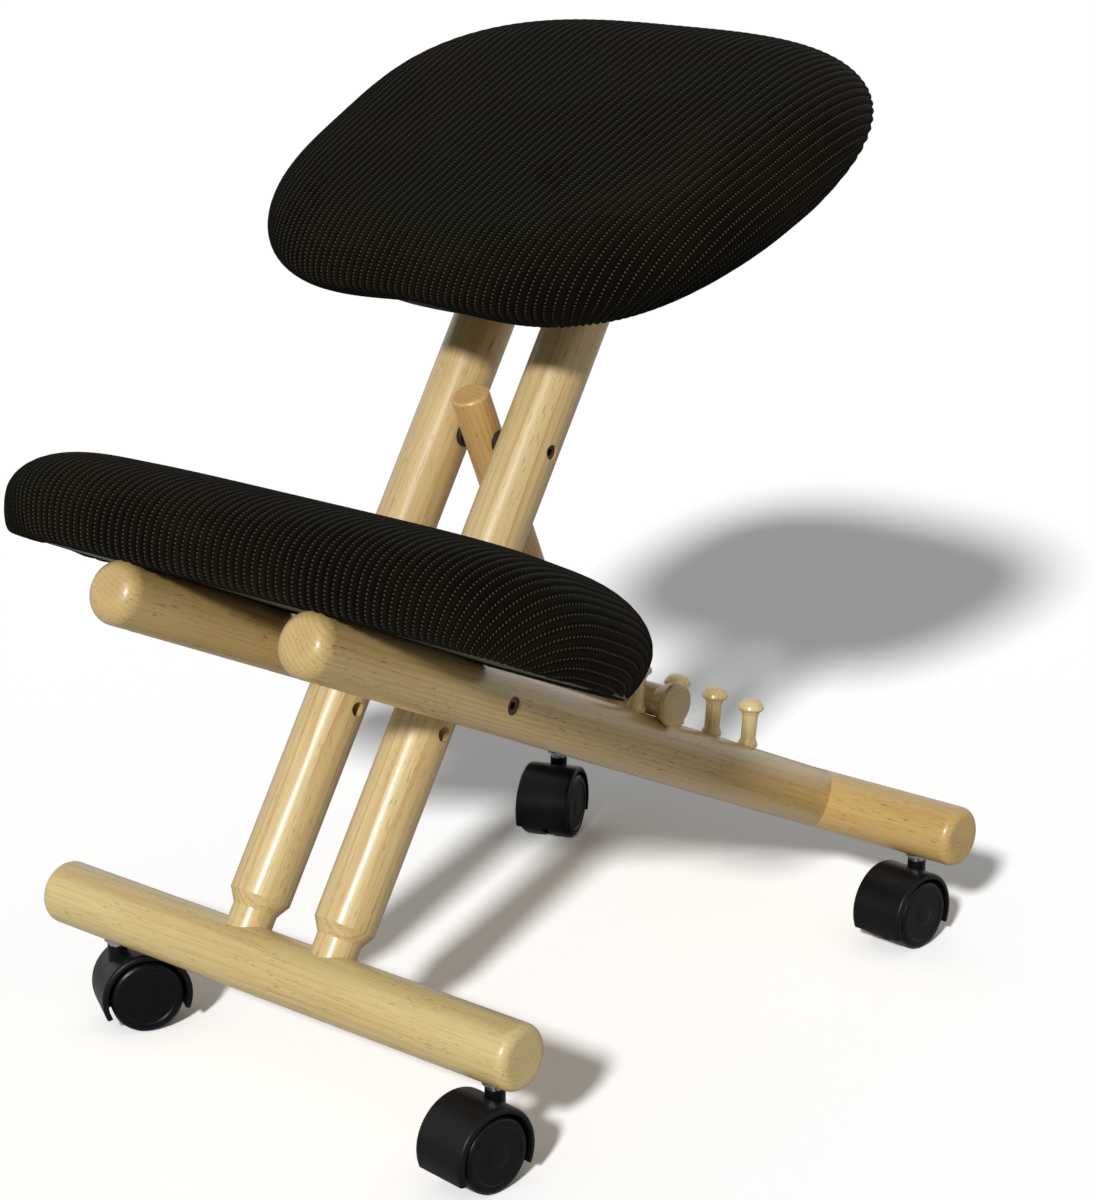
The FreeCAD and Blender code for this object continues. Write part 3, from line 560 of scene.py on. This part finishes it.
def lay_flat(outline, reach, half_width, half_depth, row_pitch):
    """The knit before it is bent: columns half a rib apart, and one more down each side's rim."""
    edge_x, edge_y, out_x, out_y = outline
    rim_x = edge_x + out_x * reach
    rim_y = edge_y + out_y * reach
    back = rim_y > 0
    order = np.argsort(rim_x[back])
    column_end = (rim_x[back][order], rim_y[back][order])
    side = rim_x > 0
    order = np.argsort(rim_y[side])
    side_end = (rim_y[side][order], rim_x[side][order])
    least_strip = 0.3
    last = int((half_width + reach) / (rib_pitch / 2) - least_strip)
    rows = 2 * round((half_depth + reach) / row_pitch)
    share = np.linspace(-1.0, 1.0, rows + 1)
    flat_x = []
    flat_y = []
    for k in range(-last - 1, last + 2):
        near = max(-last, min(last, k))
        x = near * rib_pitch / 2
        y = share * np.interp(x, *column_end)
        if near == k:
            flat_x.append(np.full(rows + 1, x))
        else:
            flat_x.append(math.copysign(1.0, k) * np.interp(y, *side_end))
        flat_y.append(y)
    return np.concatenate(flat_x), np.concatenate(flat_y), last, rows


def nearest_places(flat_x, flat_y, edge_x, edge_y):
    """For each flat point, the number of the outline point that lies nearest."""
    nearest = np.empty(len(flat_x), dtype=int)
    batch = 1000
    for start in range(0, len(flat_x), batch):
        part = slice(start, start + batch)
        gap = (flat_x[part, None] - edge_x) ** 2 + (flat_y[part, None] - edge_y) ** 2
        nearest[part] = gap.argmin(axis=1)
    return nearest


def along_columns(x, y, z, columns, rows):
    """Millimetres along each column of knit, counted from its middle."""
    along = []
    for k in range(columns):
        part = slice(k * (rows + 1), (k + 1) * (rows + 1))
        pieces = np.sqrt(np.diff(x[part]) ** 2 + np.diff(y[part]) ** 2 + np.diff(z[part]) ** 2)
        length = np.concatenate([[0.0], np.cumsum(pieces)])
        along.extend((length - length[-1] / 2) * 1000)
    return along


def corners_once(corners):
    """A face without the corners that come twice."""
    return [int(v) for i, v in enumerate(corners) if v not in corners[:i]]


def knit_cover(name, size, edge, margin, crown, row_pitch, place):
    """One sheet of knit, its ribs straight fore and aft where it lies flat, bent down over the edge.

    size is half width, half depth and squareness, edge is what edge_profile takes, margin is
    stapled under the board, and place takes the local x, y, z to the chair.
    """
    half_width, half_depth, squareness = size
    roll, underturn, widest, top, bottom = edge
    run, inset, height = edge_profile(*edge)
    reach = run[-1]
    outline = top_edge(half_width - roll, half_depth - roll, squareness)
    edge_x, edge_y, out_x, out_y = outline
    flat_x, flat_y, last, rows = lay_flat(outline, reach, half_width - roll, half_depth - roll,
                                          row_pitch)

    # Each flat point slides along the outline as the sheet turns, and goes down the edge profile.
    nearest = nearest_places(flat_x, flat_y, edge_x, edge_y)
    near_x, near_y, way_x, way_y = (values[nearest] for values in outline)
    slide = (flat_x - near_x) * -way_y + (flat_y - near_y) * way_x
    turned = np.hypot(np.roll(out_x, -1) - out_x, np.roll(out_y, -1) - out_y)
    gone = np.hypot(np.roll(edge_x, -1) - edge_x, np.roll(edge_y, -1) - edge_y)
    turn_rate = (turned / gone)[nearest]
    out = (flat_x - near_x) * way_x + (flat_y - near_y) * way_y
    slide = slide / (1 + turn_rate * np.maximum(out, 0.0))
    near_x, near_y = near_x - way_y * slide, near_y + way_x * slide
    way_x, way_y = way_x - way_y * turn_rate * slide, way_y + way_x * turn_rate * slide
    on_top = out <= 0
    out = np.clip(out, 0.0, reach)
    shift = roll - np.interp(out, run, inset)
    centred = ((np.abs(flat_x) / (half_width - roll)) ** squareness
               + (np.abs(flat_y) / (half_depth - roll)) ** squareness)
    x = np.where(on_top, flat_x, near_x + way_x * shift)
    y = np.where(on_top, flat_y, near_y + way_y * shift)
    z = np.interp(out, run, height)
    z = z + crown * np.where(on_top, (1 - np.minimum(centred, 1.0)) ** 2, 0.0)

    # The sheet's points, their place on the knit and the faces between the columns.
    points = list(zip(x, y, z))
    columns = 2 * last + 3
    at = np.arange(columns * (rows + 1)).reshape(columns, rows + 1)
    at[0, (0, rows)] = at[1, (0, rows)]
    at[-1, (0, rows)] = at[-2, (0, rows)]
    rib = np.repeat((np.arange(columns) - last - 1) / 2, rows + 1)
    maps = list(zip(rib, along_columns(x, y, z, columns, rows)))
    faces = []
    for k in range(columns - 1):
        for j in range(rows):
            faces.append(corners_once([at[k, j], at[k + 1, j], at[k + 1, j + 1], at[k, j + 1]]))

    # The stapled margin under the board, and strips across that close the underside inside it.
    rim = [int(v) for v in at[1:-1, 0]] + [int(v) for v in at[-1, 1:rows]]
    rim += [int(v) for v in at[1:-1, rows][::-1]] + [int(v) for v in at[0, 1:rows][::-1]]
    ring = rim
    into_board = 0.0016
    for ring_inset, ring_height in ((underturn + margin * 0.5, bottom),
                                    (underturn + margin, bottom),
                                    (underturn + margin, bottom + into_board)):
        made = []
        for v, source in zip(rim, ring):
            made.append(len(points))
            step = roll - ring_inset
            points.append((near_x[v] + way_x[v] * step, near_y[v] + way_y[v] * step, ring_height))
            ways = -1.0 if flat_y[v] < 0 else 1.0
            maps.append((maps[source][0], maps[source][1] + ways * margin * 500))
        for i in range(len(ring)):
            after = (i + 1) % len(ring)
            faces.append([ring[after], ring[i], made[i], made[after]])
        ring = made
    ring = ring[-rows // 2:] + ring[:-rows // 2]
    for i in range(len(ring) // 2):
        faces.append(corners_once([ring[i + 1], ring[i], ring[-i], ring[-i - 1]]))

    used = sorted({v for face in faces for v in face})
    new_index = {v: i for i, v in enumerate(used)}
    mesh = bpy.data.meshes.new(name)
    mesh.from_pydata([place(*points[v]) for v in used], [],
                     [[new_index[v] for v in face] for face in faces])
    layer = mesh.uv_layers.new(name="knit")
    for loop, corner in zip(mesh.loops, layer.data):
        corner.uv = maps[used[loop.vertex_index]]
    count = mesh.attributes.new("rib", "FLOAT", "POINT")
    for i, v in enumerate(used):
        count.data[i].value = maps[v][0]
    made = bpy.data.objects.new(name, mesh)
    bpy.context.scene.collection.objects.link(made)
    return made


def swell(cushion, held, pressure, cap):
    """Blows the cover up over the foam with cloth simulation; held points keep their place.

    Only the outward part of the swelling is kept, up to the cap and evened out over the mesh.
    """
    rest = [vertex.co.copy() for vertex in cushion.data.vertices]
    pins = cushion.vertex_groups.new(name="held")
    pins.add([i for i, point in enumerate(rest) if held(point)], 1.0, "REPLACE")
    cloth = cushion.modifiers.new("cloth", "CLOTH")
    settings = cloth.settings
    settings.quality = 6
    settings.mass = 0.3
    settings.tension_stiffness = 18.0
    settings.compression_stiffness = 18.0
    settings.shear_stiffness = 6.0
    settings.bending_stiffness = 1.2
    settings.use_pressure = True
    settings.uniform_pressure_force = pressure
    settings.effector_weights.gravity = 0.0
    settings.vertex_group_mass = "held"
    cloth.collision_settings.use_collision = False
    cloth.collision_settings.use_self_collision = False
    last_frame = 20
    cloth.point_cache.frame_start = 1
    cloth.point_cache.frame_end = last_frame
    for step in range(1, last_frame + 1):
        bpy.context.scene.frame_set(step)
    swollen = cushion.evaluated_get(bpy.context.evaluated_depsgraph_get()).to_mesh()
    moved = [vertex.co.copy() for vertex in swollen.vertices]
    cushion.evaluated_get(bpy.context.evaluated_depsgraph_get()).to_mesh_clear()
    cushion.modifiers.remove(cloth)
    cushion.vertex_groups.clear()
    bpy.context.scene.frame_set(1)
    vertices = cushion.data.vertices
    ways = [vertex.normal.copy() for vertex in vertices]
    rise = np.array([max(0.0, min(cap, (end - start).dot(way)))
                     for start, end, way in zip(rest, moved, ways)])
    edges = np.array([edge.vertices[:] for edge in cushion.data.edges])
    degree = np.bincount(edges.ravel(), minlength=len(rise))
    evening_rounds = 12
    for _ in range(evening_rounds):
        total = np.bincount(edges[:, 0], rise[edges[:, 1]], len(rise))
        total += np.bincount(edges[:, 1], rise[edges[:, 0]], len(rise))
        rise = total / degree
    for vertex, start, way, amount in zip(vertices, rest, ways, rise):
        vertex.co = start + way * (0.0 if held(start) else float(amount))


def finish_cushion(cushion):
    """Smooths the cover, raises its ribs and gives it its knit."""
    smooth = cushion.modifiers.new("smooth", "SUBSURF")
    smooth.levels = 2
    smooth.render_levels = 2
    graph = bpy.context.evaluated_depsgraph_get()
    mesh = bpy.data.meshes.new_from_object(cushion.evaluated_get(graph))
    cushion.modifiers.clear()
    cushion.data = mesh
    rib = mesh.attributes["rib"].data
    normals = [vertex.normal.copy() for vertex in mesh.vertices]
    for i, vertex in enumerate(mesh.vertices):
        vertex.co += normals[i] * (rib_height * 0.5 * math.cos(2 * math.pi * rib[i].value))
    mesh.shade_smooth()
    mesh.materials.clear()
    mesh.materials.append(cushion_knit)


def smooth_step(value, low, high):
    """0 below low and 1 above high, with a smooth step between."""
    share = max(0.0, min(1.0, (value - low) / (high - low)))
    return share * share * (3 - 2 * share)


# The seat cushion: broad and thick, rolled over all round, scooped a little in front between the
# thighs. It is tipped forwards, and its knit is drawn round the board's edge and stapled below.

seat_tilt = math.radians(24.0)
seat_back_way = Vector((0.0, math.cos(seat_tilt), math.sin(seat_tilt)))
seat_up_way = Vector((0.0, -math.sin(seat_tilt), math.cos(seat_tilt)))
seat_base = middle("seat_board") + seat_up_way * 0.005
seat_half_width = 0.2020
seat_half_depth = 0.1685
seat_squareness = 3.3
seat_taper = 0.085
seat_roll = 0.069
seat_underturn = 0.043
seat_widest = 0.023
seat_top = 0.0535
seat_bottom = -0.0112
seat_margin = 0.020
seat_crown = 0.002
seat_scoop = 0.012
seat_scoop_width = 0.085
seat_scoop_side = -0.004
seat_scoop_from = 0.095
seat_scoop_full = 0.155
seat_scoop_top = 0.040
seat_scoop_inward = 0.4
seat_shift = -0.002
seat_held_below = -0.006


def seat_place(x, y, z):
    """A point of the seat's cover, from the middle of the board's top."""
    scoop = seat_scoop * math.exp(-((x - seat_scoop_side) / seat_scoop_width) ** 2)
    scoop = scoop * smooth_step(-y, seat_scoop_from, seat_scoop_full)
    z += scoop * smooth_step(-z, -seat_scoop_top, 0.0)
    x = x * (1 + seat_taper * y / seat_half_depth) + seat_shift
    y = y + scoop * seat_scoop_inward
    return seat_base + Vector((x, 0.0, 0.0)) + seat_back_way * y + seat_up_way * z


seat_cushion = knit_cover(
    "seat_cushion_knit", (seat_half_width, seat_half_depth, seat_squareness),
    (seat_roll, seat_underturn, seat_widest, seat_top, seat_bottom), seat_margin, seat_crown,
    row_pitch=0.0075, place=seat_place)
swell(seat_cushion, lambda point: (point - seat_base).dot(seat_up_way) < seat_held_below,
      pressure=3.0, cap=0.002)
finish_cushion(seat_cushion)
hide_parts("seat_cushion")
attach(seat_cushion, "seat_frame")

# The knee cushion: a long bolster across both rails, rounded over and nearly square in plan,
# hollowed behind for the posts. Its knit comes down over the board's edge.

rail_up_way = rail_way.cross(Vector((1.0, 0.0, 0.0)))
knee_station = 0.49995
knee_board_top = 0.0295
knee_base = (Vector((0.0, rear_axis.y, rear_axis.z)) + rail_way * knee_station
             + rail_up_way * knee_board_top)
knee_half_width = 0.2430
knee_half_depth = 0.0950
knee_squareness = 5.6
knee_roll = 0.062
knee_underturn = 0.010
knee_widest = 0.017
knee_top = 0.0555
knee_bottom = -0.0098
knee_margin = 0.014
knee_crown = 0.0015
knee_hollow = 0.029
knee_hollow_width = 0.150
knee_side_shift = -0.001
knee_front_shift = 0.005
knee_held_below = -0.004


def knee_place(x, y, z):
    """A point of the knee rest's cover; the hollow is in the back edge."""
    if y > 0 and abs(x) < knee_hollow_width:
        y -= smooth_step(y, 0.0, knee_half_depth) * knee_hollow * (
            0.5 + 0.5 * math.cos(math.pi * x / knee_hollow_width))
    return (knee_base + Vector((x + knee_side_shift, 0.0, 0.0)) - rail_way * (y - knee_front_shift)
            + rail_up_way * z)


knee_cushion = knit_cover(
    "knee_cushion_knit", (knee_half_width, knee_half_depth, knee_squareness),
    (knee_roll, knee_underturn, knee_widest, knee_top, knee_bottom), knee_margin, knee_crown,
    row_pitch=0.0065, place=knee_place)
swell(knee_cushion, lambda point: (point - knee_base).dot(rail_up_way) < knee_held_below,
      pressure=3.0, cap=0.0025)
finish_cushion(knee_cushion)
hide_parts("knee_cushion")
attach(knee_cushion, "knee_frame")
